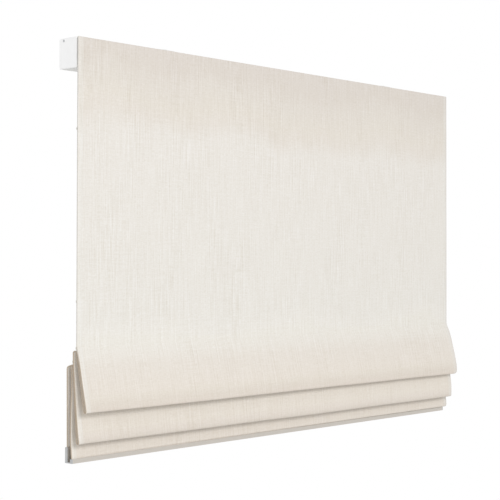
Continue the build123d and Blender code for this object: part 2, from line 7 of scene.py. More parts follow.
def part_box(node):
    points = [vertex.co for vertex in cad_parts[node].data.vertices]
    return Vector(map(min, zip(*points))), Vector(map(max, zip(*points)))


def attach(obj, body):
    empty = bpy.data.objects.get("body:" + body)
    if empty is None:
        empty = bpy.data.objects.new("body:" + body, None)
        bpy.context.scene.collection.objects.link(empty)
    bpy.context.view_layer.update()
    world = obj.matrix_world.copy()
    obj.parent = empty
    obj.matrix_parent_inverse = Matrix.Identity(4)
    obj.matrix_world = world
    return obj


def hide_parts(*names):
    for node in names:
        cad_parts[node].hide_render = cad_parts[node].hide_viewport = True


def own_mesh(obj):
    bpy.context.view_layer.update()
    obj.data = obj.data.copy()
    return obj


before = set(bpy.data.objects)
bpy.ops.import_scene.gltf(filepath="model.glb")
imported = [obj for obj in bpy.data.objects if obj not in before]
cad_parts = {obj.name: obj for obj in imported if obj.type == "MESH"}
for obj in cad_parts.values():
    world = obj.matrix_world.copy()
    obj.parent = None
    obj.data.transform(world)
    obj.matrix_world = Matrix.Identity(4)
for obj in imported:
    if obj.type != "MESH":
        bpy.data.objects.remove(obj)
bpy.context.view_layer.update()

mm = 0.001

panelLow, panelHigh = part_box("fabric_panel")
faceY = panelLow.y  # front face of the flat cloth
clothTop = panelHigh.z
panelFoot = panelLow.z  # the flat cloth ends here and the folds begin
panelDrop = clothTop - panelFoot
halfWidth = panelHigh.x
clothHalf = (panelHigh.y - panelLow.y) / 2
print("frame loaded, cloth", round(2 * halfWidth, 3), "m wide")

# first the camera, then the finishes, the flat cloth, the folds, the lowest strip, the sleeves of
# the rods, the stitches of the lining, and last the floor and the light; sizes are in metres
# where no other unit is named


def intoScene(name, data):
    made = bpy.data.objects.new(name, data)
    bpy.context.scene.collection.objects.link(made)
    return made


camera = {
    "place": (-1.8405, -1.5975, -0.322),
    "ahead": (0.74518, 0.66686),  # X and Y of the line of sight
    "pitchUp": 0.498,  # degrees
    "roll": 0.08,  # degrees
    "focalPixels": 1343.0,
    "framePixels": 500.0,
    "sensor": 36.0,  # mm
    "clipEnd": 60,
}


def placeCamera():
    data = bpy.data.cameras.new("blindCamera")
    data.sensor_width = camera["sensor"]
    data.lens = camera["focalPixels"] / camera["framePixels"] * camera["sensor"]
    data.clip_end = camera["clipEnd"]
    shot = intoScene("blindCamera", data)
    ahead = Vector((*camera["ahead"], 0)).normalized()
    sight = ahead * math.cos(math.radians(camera["pitchUp"]))
    sight.z = math.sin(math.radians(camera["pitchUp"]))
    turn = sight.to_track_quat("-Z", "Y").to_matrix().to_4x4()
    turn = turn @ Matrix.Rotation(math.radians(camera["roll"]), 4, "Z")
    shot.matrix_world = Matrix.Translation(camera["place"]) @ turn
    bpy.context.scene.camera = shot


placeCamera()
print("camera placed")


def finish(name, rough=0.5, metal=0.0, specular=0.5, sheen=0.0):
    made = bpy.data.materials.new(name)
    made.use_nodes = True
    shader = made.node_tree.nodes["Principled BSDF"]
    shader.inputs["Roughness"].default_value = rough
    shader.inputs["Metallic"].default_value = metal
    shader.inputs["Specular IOR Level"].default_value = specular
    shader.inputs["Sheen Weight"].default_value = sheen
    return made, made.node_tree, shader


def surfacePoint(tree, stretch, clothMap=False):
    # a point on the piece in metres, stretched for a noise
    if clothMap:
        source = tree.nodes.new("ShaderNodeUVMap")
        source.uv_map = "clothFlat"
        out = source.outputs["UV"]
    else:
        out = tree.nodes.new("ShaderNodeTexCoord").outputs["Object"]
    mapping = tree.nodes.new("ShaderNodeMapping")
    mapping.inputs["Scale"].default_value = stretch
    tree.links.new(out, mapping.inputs["Vector"])
    return mapping.outputs["Vector"]


def grain(tree, stretch, clothMap=False, detail=2.0, rough=0.5):
    # noise with so many cells a metre along each direction
    texture = tree.nodes.new("ShaderNodeTexNoise")
    texture.inputs["Scale"].default_value = 1.0
    texture.inputs["Detail"].default_value = detail
    texture.inputs["Roughness"].default_value = rough
    tree.links.new(surfacePoint(tree, stretch, clothMap), texture.inputs["Vector"])
    return texture.outputs["Fac"]


def between(tree, value, low, high, fromLow=0.3, fromHigh=0.7):
    # most of a noise lies between 0.3 and 0.7
    node = tree.nodes.new("ShaderNodeMapRange")
    node.inputs["From Min"].default_value = fromLow
    node.inputs["From Max"].default_value = fromHigh
    node.inputs["To Min"].default_value = low
    node.inputs["To Max"].default_value = high
    tree.links.new(value, node.inputs["Value"])
    return node.outputs["Result"]


def sums(tree, kind, first, second=None):
    node = tree.nodes.new("ShaderNodeMath")
    node.operation = kind
    for socket, value in zip(node.inputs, (first, second)):
        if isinstance(value, (int, float)):
            socket.default_value = value
        elif value is not None:
            tree.links.new(value, socket)
    return node.outputs["Value"]


def linearPart(part):
    # the curve of a screen
    return part / 12.92 if part <= 0.04045 else ((part + 0.055) / 1.055) ** 2.4


def toLinear(shade):
    # colours are written as they look on a screen, 0 to 255
    return (*[linearPart(channel / 255) for channel in shade], 1)


def blendColours(tree, factor, first, second, kind="MIX"):
    node = tree.nodes.new("ShaderNodeMix")
    node.data_type = "RGBA"
    node.blend_type = kind
    sockets = (node.inputs[0], node.inputs[6], node.inputs[7])  # the factor and the two colours
    for socket, value in zip(sockets, (factor, first, second)):
        if isinstance(value, (int, float, tuple)):
            socket.default_value = value
        else:
            tree.links.new(value, socket)
    return node.outputs[2]


def mottled(tree, shader, shade, tone, value, reach=(0.3, 0.7)):
    # the shade, darker by the tone where the value is low
    darker = toLinear([channel * (1 - tone) for channel in shade])
    colour = blendColours(tree, between(tree, value, 0, 1, *reach), darker, toLinear(shade))
    tree.links.new(colour, shader.inputs["Base Color"])


def raised(tree, shader, height, depth, strength):
    bump = tree.nodes.new("ShaderNodeBump")
    bump.inputs["Distance"].default_value = depth
    bump.inputs["Strength"].default_value = strength
    tree.links.new(height, bump.inputs["Height"])
    tree.links.new(bump.outputs["Normal"], shader.inputs["Normal"])


# the stretches are noise cells per metre across, along and through
linenLook = {
    "rough": 0.82,
    "roughRange": (-0.06, 0.08),
    "specular": 0.25,
    "sheen": 0.05,
    "sheenRough": 0.6,
    "sheenTint": (244, 238, 228),
    "warpSlubs": (330, 24, 5),  # cells across and along, and the shift of each column
    "warpDetail": 1.2,
    "warpRange": (-0.66, 0.54),
    "weftSlubs": (26, 340, 1),
    "weftRange": (-0.21, 0.21),
    "warpThreads": (1500, 190, 1),
    "weftThreads": (130, 1350, 1),
    "threadDetail": 1.0,
    "slubTone": 0.086,
    "slubWarmth": (0.85, 1.0, 1.3),  # the dark threads are a little browner
    "weaveTone": 0.1,
    "patches": (5.5, 3.0, 1),  # the tones wander by these
    "coarsePatches": (16, 4.5, 1),  # the slubs are stronger in some of these
    "coarseRange": (0.4, 1.6),
    "bumpDepth": 0.00022,
    "bumpStrength": 0.6,
    "slubHeight": 0.8,  # of the slubs, where the weave has 1
    "hemBand": 0.010,  # width of the turned side hems
    "hemBlend": (-0.0015, 0.0005),
    "hemTone": (233, 231, 226),
}

# tones along the cloth, as metres from the top edge; the flat cloth's darker top band is painted
# shade, where the rail stands behind it, and the lighter band above its foot is a painted
# highlight, where it turns into the folds
panelShadeAndHighlightTones = (
    (0.000, (223, 216, 209)), (0.028, (223, 216, 208)), (0.060, (227, 221, 213)),
    (0.095, (229, 223, 214)), (0.116, (230, 224, 216)), (0.146, (234, 230, 224)),
    (0.425, (233, 230, 224)), (0.452, (235, 232, 226)), (0.465, (235, 232, 225)),
)
# on the folds, a painted highlight where the cloth turns in at the top, and painted shade round the
# feet of the first and second folds
foldShadeAndHighlightTones = (
    (0.465, (235, 232, 225)), (0.486, (234, 230, 223)), (0.506, (231, 225, 217)),
    (0.545, (231, 224, 215)), (0.553, (229, 222, 212)), (0.562, (225, 217, 207)),
    (0.574, (223, 214, 204)), (0.610, (230, 222, 213)), (0.794, (231, 224, 214)),
    (0.805, (227, 219, 210)), (0.811, (219, 211, 201)), (0.817, (217, 209, 199)),
    (0.850, (230, 222, 212)), (1.000, (231, 223, 213)),
)
hemTones = ((0.6, (228, 220, 210)), (0.75, (228, 220, 210)))
edgeTones = ((0.465, (214, 210, 203)), (0.500, (180, 166, 148)), (0.750, (178, 163, 145)))


def slubs(tree, parts, across, along, shift):
    # long thin marks down the cloth; each column is moved by its own amount, so that no rows show
    x = sums(tree, "MULTIPLY", parts.outputs["X"], across)
    own = tree.nodes.new("ShaderNodeTexNoise")
    own.noise_dimensions = "1D"
    own.inputs["Scale"].default_value = 1.0
    tree.links.new(x, own.inputs["W"])
    y = sums(tree, "ADD", sums(tree, "MULTIPLY", parts.outputs["Y"], along),
             sums(tree, "MULTIPLY", own.outputs["Fac"], shift))
    place = tree.nodes.new("ShaderNodeCombineXYZ")
    tree.links.new(x, place.inputs["X"])
    tree.links.new(y, place.inputs["Y"])
    texture = tree.nodes.new("ShaderNodeTexNoise")
    texture.inputs["Scale"].default_value = 1.0
    texture.inputs["Detail"].default_value = linenLook["warpDetail"]
    tree.links.new(place.outputs["Vector"], texture.inputs["Vector"])
    return texture.outputs["Fac"]


def toneDown(tree, parts, tones, drift):
    # the tones along the cloth, which wander up and down by the drift; on the flat cloth, the folds
    # and their side edges these hold painted shade and painted highlights
    first, last = tones[0][0], tones[-1][0]
    ramp = tree.nodes.new("ShaderNodeValToRGB")
    while len(ramp.color_ramp.elements) < len(tones):
        ramp.color_ramp.elements.new(0.5)
    for element, (run, shade) in zip(ramp.color_ramp.elements, tones):
        element.position = (run - first) / (last - first)
        element.color = toLinear(shade)
    wander = between(tree, grain(tree, linenLook["patches"], True), -drift, drift)
    down = sums(tree, "ADD", parts.outputs["Y"], wander)
    tree.links.new(between(tree, down, 0, 1, first, last), ramp.inputs["Fac"])
    return ramp.outputs["Color"]


def linenFinish(name, tones, hemShare=0.4, drift=0.0):
    look = linenLook
    made, tree, shader = finish(name, look["rough"], specular=look["specular"], sheen=look["sheen"])
    shader.inputs["Sheen Roughness"].default_value = look["sheenRough"]
    shader.inputs["Sheen Tint"].default_value = toLinear(look["sheenTint"])
    parts = tree.nodes.new("ShaderNodeSeparateXYZ")
    tree.links.new(surfacePoint(tree, (1, 1, 1), True), parts.inputs["Vector"])
    # the turned side hems are a little lighter, as four layers let less light through
    across = sums(tree, "ABSOLUTE", parts.outputs["X"])
    bandStart, bandEnd = (halfWidth - look["hemBand"] + step for step in look["hemBlend"])
    band = between(tree, across, 0, hemShare, bandStart, bandEnd)
    # the tone along the cloth carries the painted shade and painted highlights of its table
    tone = blendColours(tree, band, toneDown(tree, parts, tones, drift), toLinear(look["hemTone"]))
    # slubs and threads that cross
    warp = slubs(tree, parts, *look["warpSlubs"])
    weft = grain(tree, look["weftSlubs"], True)
    threads = sums(tree, "ADD", between(tree, warp, *look["warpRange"]),
                   between(tree, weft, *look["weftRange"]))
    coarse = between(tree, grain(tree, look["coarsePatches"], True), *look["coarseRange"])
    threads = sums(tree, "MULTIPLY", threads, coarse)
    warpFine = grain(tree, look["warpThreads"], True, look["threadDetail"])
    weftFine = grain(tree, look["weftThreads"], True, look["threadDetail"])
    weave = sums(tree, "MULTIPLY", 0.5, sums(tree, "ADD", warpFine, weftFine))
    shading = sums(tree, "ADD", sums(tree, "MULTIPLY", threads, look["slubTone"]),
                   between(tree, weave, 1 - look["weaveTone"], 1 + look["weaveTone"] / 2))
    shadeColour = tree.nodes.new("ShaderNodeCombineColor")
    for channel, depth in zip(("Red", "Green", "Blue"), look["slubWarmth"]):
        part = sums(tree, "ADD", sums(tree, "MULTIPLY", shading, depth), 1 - depth)
        tree.links.new(part, shadeColour.inputs[channel])
    colour = blendColours(tree, 1.0, tone, shadeColour.outputs["Color"], "MULTIPLY")
    tree.links.new(colour, shader.inputs["Base Color"])
    smooth, rough = (look["rough"] + step for step in look["roughRange"])
    tree.links.new(between(tree, weave, smooth, rough), shader.inputs["Roughness"])
    height = sums(tree, "ADD", weave, sums(tree, "MULTIPLY", threads, look["slubHeight"]))
    raised(tree, shader, height, look["bumpDepth"], look["bumpStrength"])
    return made


closeWeave = {
    "specular": 0.2,
    "sheen": 0.06,
    "stretch": 0.16,  # cells along a thread, as a share of those across it
    "reach": (0.7, 1.3),
    "roughRange": 0.05,
    "bumpStrength": 0.5,
}


def closeWeaveFinish(name, shade, cells, tone, depth, rough=0.85, clothMap=True):
    made, tree, shader = finish(
        name, rough, specular=closeWeave["specular"], sheen=closeWeave["sheen"])
    fewer = cells * closeWeave["stretch"]
    warp = grain(tree, (cells, fewer, fewer), clothMap)
    weft = grain(tree, (fewer, cells, cells), clothMap)
    threads = sums(tree, "ADD", warp, weft)
    mottled(tree, shader, shade, tone, threads, closeWeave["reach"])
    spread = closeWeave["roughRange"]
    tree.links.new(between(tree, warp, rough - spread, rough + spread), shader.inputs["Roughness"])
    raised(tree, shader, threads, depth, closeWeave["bumpStrength"])
    return made


moulded = {
    "clouds": (38, 52, 52),
    "cloudDetail": 3.0,
    "roughRange": (-0.05, 0.07),
    "bumpStrength": 0.5,
}


def mouldedFinish(name, shade, rough, cells=900, tone=0.03, depth=0.00004, specular=0.45):
    made, tree, shader = finish(name, rough, specular=specular)
    pores = grain(tree, (cells, cells, cells))
    clouds = grain(tree, moulded["clouds"], detail=moulded["cloudDetail"])
    mottled(tree, shader, shade, tone, clouds)
    low, high = (rough + step for step in moulded["roughRange"])
    tree.links.new(between(tree, clouds, low, high), shader.inputs["Roughness"])
    raised(tree, shader, pores, depth, moulded["bumpStrength"])
    return made


drawn = {
    "lineDetail": 4.0,
    "lineRough": 0.6,
    "lineRange": (-0.05, 0.05),
    "clouds": (14, 60, 60),
    "cloudRange": (-0.04, 0.06),
    "bumpDepth": 0.00003,
    "bumpStrength": 0.4,
}


def drawnFinish(name, shade, rough, metal, stretch, tone):
    # metal or fibre with fine lines along its length
    made, tree, shader = finish(name, rough, metal=metal)
    lines = grain(tree, stretch, detail=drawn["lineDetail"], rough=drawn["lineRough"])
    clouds = grain(tree, drawn["clouds"])
    mottled(tree, shader, shade, tone, lines)
    low, high = (rough + step for step in drawn["cloudRange"])
    worn = sums(tree, "ADD", between(tree, lines, *drawn["lineRange"]),
                between(tree, clouds, low, high))
    tree.links.new(worn, shader.inputs["Roughness"])
    raised(tree, shader, lines, drawn["bumpDepth"], drawn["bumpStrength"])
    return made


# the grey of this tape is painted shade, for the dark gap between the headrail and the top of the
# cloth
pileTape = {
    "shade": (142, 141, 139),
    "dark": 0.78,  # the shade between the tufts, as a share
    "rough": 0.95,
    "specular": 0.15,
    "sheen": 0.2,
    "tufts": (620, 620, 620),
    "fuzz": (1400, 1400, 1400),
    "fuzzDetail": 3.0,
    "reach": (0.5, 1.3),
    "bumpDepth": 0.0004,
    "bumpStrength": 0.7,
}


def tapeFinish(name):
    made, tree, shader = finish(
        name, pileTape["rough"], specular=pileTape["specular"], sheen=pileTape["sheen"])
    tufts = tree.nodes.new("ShaderNodeTexVoronoi")
    tufts.inputs["Scale"].default_value = 1.0
    tree.links.new(surfacePoint(tree, pileTape["tufts"]), tufts.inputs["Vector"])
    fuzz = grain(tree, pileTape["fuzz"], detail=pileTape["fuzzDetail"])
    pile = sums(tree, "ADD", tufts.outputs["Distance"], fuzz)
    high = toLinear(pileTape["shade"])
    low = toLinear([channel * pileTape["dark"] for channel in pileTape["shade"]])
    colour = blendColours(tree, between(tree, pile, 0, 1, *pileTape["reach"]), high, low)
    tree.links.new(colour, shader.inputs["Base Color"])
    raised(tree, shader, pile, pileTape["bumpDepth"], pileTape["bumpStrength"])
    return made


# moulded: shade, roughness, pores per metre, tone, depth of the pores, specular level
# drawn: shade, roughness, metal, lines per metre along, across and through, tone
# close weave: shade, threads per metre, tone, depth, roughness, and whether it lies on the cloth
finishes = {
    "rail_white": mouldedFinish("railWhite", (240, 240, 239), 0.42, 1300, 0.02, 0.00006, 0.4),
    "cap_white": mouldedFinish("capWhite", (246, 246, 246), 0.38, 1700, 0.015, 0.00003),
    "touch_tape": tapeFinish("touchTapeShadeGrey"),
    "zinc_steel": drawnFinish("zincSteel", (200, 202, 204), 0.34, 1.0, (40, 900, 900), 0.15),
    "spring_steel": drawnFinish("springSteel", (128, 136, 148), 0.3, 1.0, (30, 700, 700), 0.2),
    "mechanism_white": mouldedFinish("mechanismWhite", (233, 233, 229), 0.45, 1100, 0.03),
    "mechanism_grey": mouldedFinish("mechanismGrey", (186, 187, 188), 0.5, 1100, 0.05),
    "bracket_white": mouldedFinish("bracketWhite", (236, 236, 234), 0.4, 1300, 0.03, 0.00006),
    "linen": linenFinish("linenFoldsPaintedLight", foldShadeAndHighlightTones),
    "lining": closeWeaveFinish("liningIvory", (238, 235, 227), 1500, 0.04, 0.00008),
    "rod_fibre": drawnFinish("rodFibre", (231, 231, 222), 0.5, 0.0, (25, 2600, 2600), 0.08),
    "ring_clear": mouldedFinish("ringWhite", (238, 239, 238), 0.22, 500, 0.02, 0.00001, 0.5),
    "bottom_aluminium": drawnFinish(
        "bottomAluminium", (204, 198, 190), 0.48, 0.35, (9, 3200, 3200), 0.025),
}
panelLinen = linenFinish("linenPanelPaintedLight", panelShadeAndHighlightTones, drift=0.02)
hemLinen = linenFinish("linenHem", hemTones)
cutEdge = closeWeaveFinish("linenEdge", (214, 210, 203), 900, 0.1, 0.0002)
foldEdge = linenFinish("linenFoldEdge", edgeTones, 0.0)  # darker where the layers shade each other
thread = closeWeaveFinish("sewingThread", (226, 221, 211), 4000, 0.12, 0.00005, 0.6, False)

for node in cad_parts.values():
    for place in node.material_slots:
        place.material = finishes[place.material.name.split(".")[0]]
print("finishes made")


cloth = {
    "columns": 132,
    "stations": 62,  # of the flat cloth
    "liningInset": 0.022,  # linen margin beside the lining
    "liningStep": 0.00015,
    "seamHalf": 0.0002,  # the lining steps up between two columns, so far from its edge
    "seamClear": 0.0015,  # no other column is nearer to it
    "broadSize": 0.0006,
    "broadWaves": (3.3, 2.6, 7.1, 0.4),  # per metre across and along, and where the noise starts
    "fineSize": 0.0002,
    "fineWaves": (12.0, 7.0, 0.0, 3.7),
    "flatAtTop": (0.018, 0.070),  # the tape holds the cloth flat down to here, and it is free below
    "footSpread": 0.0015,
}

sheetForm = {
    "sideAngles": (45, 90, 135),  # degrees round the side edges
    "rimAngles": (8, 30, 55),  # degrees round a soft start
    "sharpFrom": 60,  # degrees
}

faceLook, edgeLook, backLook, marginLook = range(4)


def mixed(near, far, share):
    return near + (far - near) * share


def eased(value, low, high):
    share = min(1.0, max(0.0, (value - low) / (high - low)))
    return share * share * (3 - 2 * share)


def farShare(x):
    # 0 at the edge that the camera is nearest to, 1 at the other
    return (x + halfWidth) / (2 * halfWidth)


def waveAt(x, run, waves):
    across, along, start, layer = waves
    return noise.noise(Vector((x * across + start, run * along, layer)))


def unevenness(x, run):
    broad = cloth["broadSize"] * waveAt(x, run, cloth["broadWaves"])
    fine = cloth["fineSize"] * waveAt(x, run, cloth["fineWaves"])
    return (broad + fine) * eased(run, *cloth["flatAtTop"])


def columnPlaces(half, count, seams=()):
    # even places across, with a close pair at each seam
    clear, close = cloth["seamClear"], cloth["seamHalf"]
    places = [-half + 2 * half * index / (count - 1) for index in range(count)]
    places = [x for x in places if all(abs(abs(x) - seam) > clear for seam in seams)]
    for seam in seams:
        places += [-seam - close, -seam + close, seam - close, seam + close]
    return sorted(places)


def roundedRoute(points, radii, legSteps, arcSteps):
    # points are (depth, height, spread) and every inner one gets its radius; the counts are the
    # same for each column, so that neighbours match. Each result also tells its leg, -1 in a
    # corner, and the share along that leg.
    corners = []
    for index in range(1, len(points) - 1):
        before, here, after = (Vector(points[i][:2]) for i in (index - 1, index, index + 1))
        inward = (here - before).normalized()
        outward = (after - here).normalized()
        turn = inward.angle_signed(outward)
        reach = radii[index - 1] * math.tan(abs(turn) / 2)
        entry, leave = here - inward * reach, here + outward * reach
        corners.append((entry, inward, turn, leave, points[index][2]))
    route = []
    for leg in range(len(points) - 1):
        start = Vector(points[0][:2]) if leg == 0 else corners[leg - 1][3]
        spread = points[0][2] if leg == 0 else corners[leg - 1][4]
        last = leg == len(points) - 2
        stop = Vector(points[-1][:2]) if last else corners[leg][0]
        stopSpread = points[-1][2] if last else corners[leg][4]
        for step in range(legSteps[leg] + 1):
            share = step / legSteps[leg]
            here = start.lerp(stop, share)
            route.append((here.x, here.y, mixed(spread, stopSpread, share), leg, share))
        if last:
            break
        entry, inward, turn, leave, spread = corners[leg]
        side = -1 if turn > 0 else 1  # angle_signed grows clockwise
        centre = entry + side * radii[leg] * Vector((-inward.y, inward.x))
        arm = entry - centre
        for step in range(1, arcSteps):
            angle = side * abs(turn) * step / arcSteps
            here = centre + Vector((
                arm.x * math.cos(angle) - arm.y * math.sin(angle),
                arm.x * math.sin(angle) + arm.y * math.cos(angle),
            ))
            route.append((here.x, here.y, spread, -1, 0.0))
    return route


def routeNormals(places):
    # unit normals that point to the face side of the cloth
    normals = []
    for index in range(len(places)):
        before = places[max(index - 1, 0)]
        after = places[min(index + 1, len(places) - 1)]
        along = Vector((after[0] - before[0], after[1] - before[1])).normalized()
        normals.append(Vector((along.y, -along.x)))
    return normals


def smoothMesh(name, vertices, faces, looks):
    mesh = bpy.data.meshes.new(name)
    mesh.from_pydata(vertices, [], faces)
    for look in looks:
        mesh.materials.append(look)
    mesh.polygons.foreach_set("use_smooth", [True] * len(faces))
    return mesh


def sheetMesh(name, columns, places, half, looks, startRound=False, backStep=None, runStart=0.0):
    # places[c][k] is (depth, height, spread) of the middle of the sheet at column c and station k.
    # looks are the finishes of face, edge, back and margin. A rounded start has a soft rim.
    count = len(columns)
    stations = len(places[0])
    normals = [routeNormals(column) for column in places]
    rim = [math.radians(angle) for angle in sheetForm["rimAngles"]] if startRound else []
    sideAngles = [math.radians(angle) for angle in sheetForm["sideAngles"]]
    sides = len(sideAngles)
    backHalf = [half + (backStep(x) if backStep else 0.0) for x in columns]
    runs = [runStart]
    middle = places[count // 2]
    for here, after in zip(middle, middle[1:]):
        runs.append(runs[-1] + math.hypot(here[0] - after[0], here[1] - after[1]))

    def spot(c, k, away, sideways, slide):
        depth, height, spread = places[c][k][:3]
        normal = normals[c][k]
        along = Vector((-normal.y, normal.x))
        return (
            columns[c] * (1 + spread / halfWidth) + sideways,
            faceY + depth + normal.x * away + along.x * slide,
            height + normal.y * away + along.y * slide,
        )

    # each stage is one ring of vertices: over the face, round an edge, back, and round the other
    vertices, flats = [], []
    stages = [(0, math.sin(angle), half * (1 - math.cos(angle))) for angle in rim]
    stages += [(k, 1.0, half if rim and k == 0 else 0.0) for k in range(stations)]
    for k, share, slide in stages:
        for c in range(count):
            vertices.append(spot(c, k, half * share, 0.0, slide))
            flats.append((columns[c], runs[k]))
        for angle in sideAngles:
            away, sideways = half * share * math.cos(angle), half * share * math.sin(angle)
            vertices.append(spot(count - 1, k, away, sideways, slide))
            flats.append((columns[-1] + half * math.sin(angle), runs[k]))
        for c in reversed(range(count)):
            vertices.append(spot(c, k, -backHalf[c] * share, 0.0, slide))
            flats.append((columns[c], runs[k]))
        for angle in sideAngles:
            away, sideways = -half * share * math.cos(angle), -half * share * math.sin(angle)
            vertices.append(spot(0, k, away, sideways, slide))
            flats.append((columns[0] - half * math.sin(angle), runs[k]))

    ring = 2 * count + 2 * sides
    ringLooks = []
    for r in range(ring):
        if r < count - 1:
            ringLooks.append(faceLook)
        elif count + sides <= r < 2 * count + sides - 1:
            c = 2 * count + sides - 2 - r
            wide = max(abs(columns[c]), abs(columns[c + 1]))
            ringLooks.append(marginLook if backStep and backStep(wide) <= 0 else backLook)
        else:
            ringLooks.append(edgeLook)

    # the faces are wound so that their normals point out
    faces, faceLooks = [], []
    for row in range(len(stages) - 1):
        here, below = row * ring, (row + 1) * ring
        for r in range(ring):
            after = (r + 1) % ring
            faces.append((below + r, below + after, here + after, here + r))
            faceLooks.append(ringLooks[r])
    for row, atEnd in ((0, False), (len(stages) - 1, True)):
        base = row * ring
        for c in range(count - 1):
            back = base + 2 * count + sides - 1 - c
            quad = (base + c, back, back - 1, base + c + 1)
            faces.append(quad if atEnd else quad[::-1])
            faceLooks.append(edgeLook)
        for first in (count - 1, 2 * count + sides - 1):
            fan = tuple(base + (first + step) % ring for step in range(sides + 2))
            faces.append(fan[::-1] if atEnd else fan)
            faceLooks.append(edgeLook)

    mesh = smoothMesh(name, vertices, faces, looks)
    mesh.polygons.foreach_set("material_index", faceLooks)
    cover = mesh.uv_layers.new(name="clothFlat")
    for loop in mesh.loops:
        cover.data[loop.index].uv = flats[loop.vertex_index]
    mesh.validate()
    mesh.set_sharp_from_angle(angle=math.radians(sheetForm["sharpFrom"]))
    return intoScene(name, mesh), runs[-1] - runs[0]


liningEdge = halfWidth - cloth["liningInset"]


def liningBack(x):
    return cloth["liningStep"] if abs(x) < liningEdge else 0.0


def makePanel():
    columns = columnPlaces(halfWidth - clothHalf, cloth["columns"], (liningEdge,))
    places = []
    for x in columns:
        column = []
        for k in range(cloth["stations"]):
            run = panelDrop * k / (cloth["stations"] - 1)
            depth = clothHalf + unevenness(x, run)
            column.append((depth, clothTop - run, cloth["footSpread"] * run / panelDrop))
        places.append(column)
    looks = (panelLinen, cutEdge, finishes["lining"], panelLinen)
    panel, drop = sheetMesh("clothPanel", columns, places, clothHalf, looks, True, liningBack)
    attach(panel, "headrail")
    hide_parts("fabric_panel")
    return panel


panel = makePanel()
print("flat cloth made")

# depths behind the flat cloth's face, heights below its foot, and how far the sides spread, in mm;
# where there are two values, the first is at the edge near the camera and the second at the far one
folds = {
    "kink": 6.0,
    "kinkRadius": 16.0,
    "firstFoot": (105.0, 105.0),
    "firstDepth": (-20.5, -24.2),
    "firstPitch": (4.7, 5.4),  # from the front leg to the one behind it
    "firstSpread": (1.0, 2.0),
    "firstBulge": (0.3, 3.6),
    "bulgeBehind": 0.8,  # of the leg behind, as a share
    "firstCornerIn": 4.0,  # the far lower corner is rounded by this much
    "cornerHeight": 6.0,
    "cornerFrom": 0.9,  # the rounding starts at this share of the width
    "behindFirst": 3.0,  # so far behind the first fold, the second one begins
    "crest": (3.4, 13.6),  # depth and height
    "crestPitch": 6.2,
    "crestSpread": 1.0,
    "secondFoot": (152.9, 152.9),
    "secondDepth": (-4.0, -12.0),
    "secondPitch": (5.0, 5.4),
    "secondSpread": (1.5, 0.2),
    "secondBulge": (-1.6, 3.6),
    "lastCrest": (11.0, 34.0),  # depth and height
    "lastSpread": 0.8,
    "backDepth": 24.0,
    "backShoulder": 38.0,
    "backSpread": 0.5,
    "railGroove": 8.85,  # below the top of the bottom rail, where the cloth ends in its groove
    "footBend": 0.46,  # radii as shares of the pitch
    "crestBend": 0.45,
    "shoulderBend": 0.7,
    "footUneven": 0.7,
    "footWaves": (6.0, 4.2, 9.1),  # per metre, and where the noise starts
    "lowFootWaves": (5.0, 8.8, 2.3),
    "depthUneven": 0.6,  # share of the feet's unevenness that shows in their depth
    "calmer": 0.8,  # the cloth's own unevenness here, as a share
    "legSteps": (2, 30, 3, 24, 3, 32, 3, 26, 4, 26),
    "cornerSteps": 7,
    "joinStations": 4,
}

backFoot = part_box("bottom_rail")[1].z - folds["railGroove"] * mm


def footWave(x, waves):
    across, start, layer = waves
    return folds["footUneven"] * noise.noise(Vector((x * across, start, layer)))


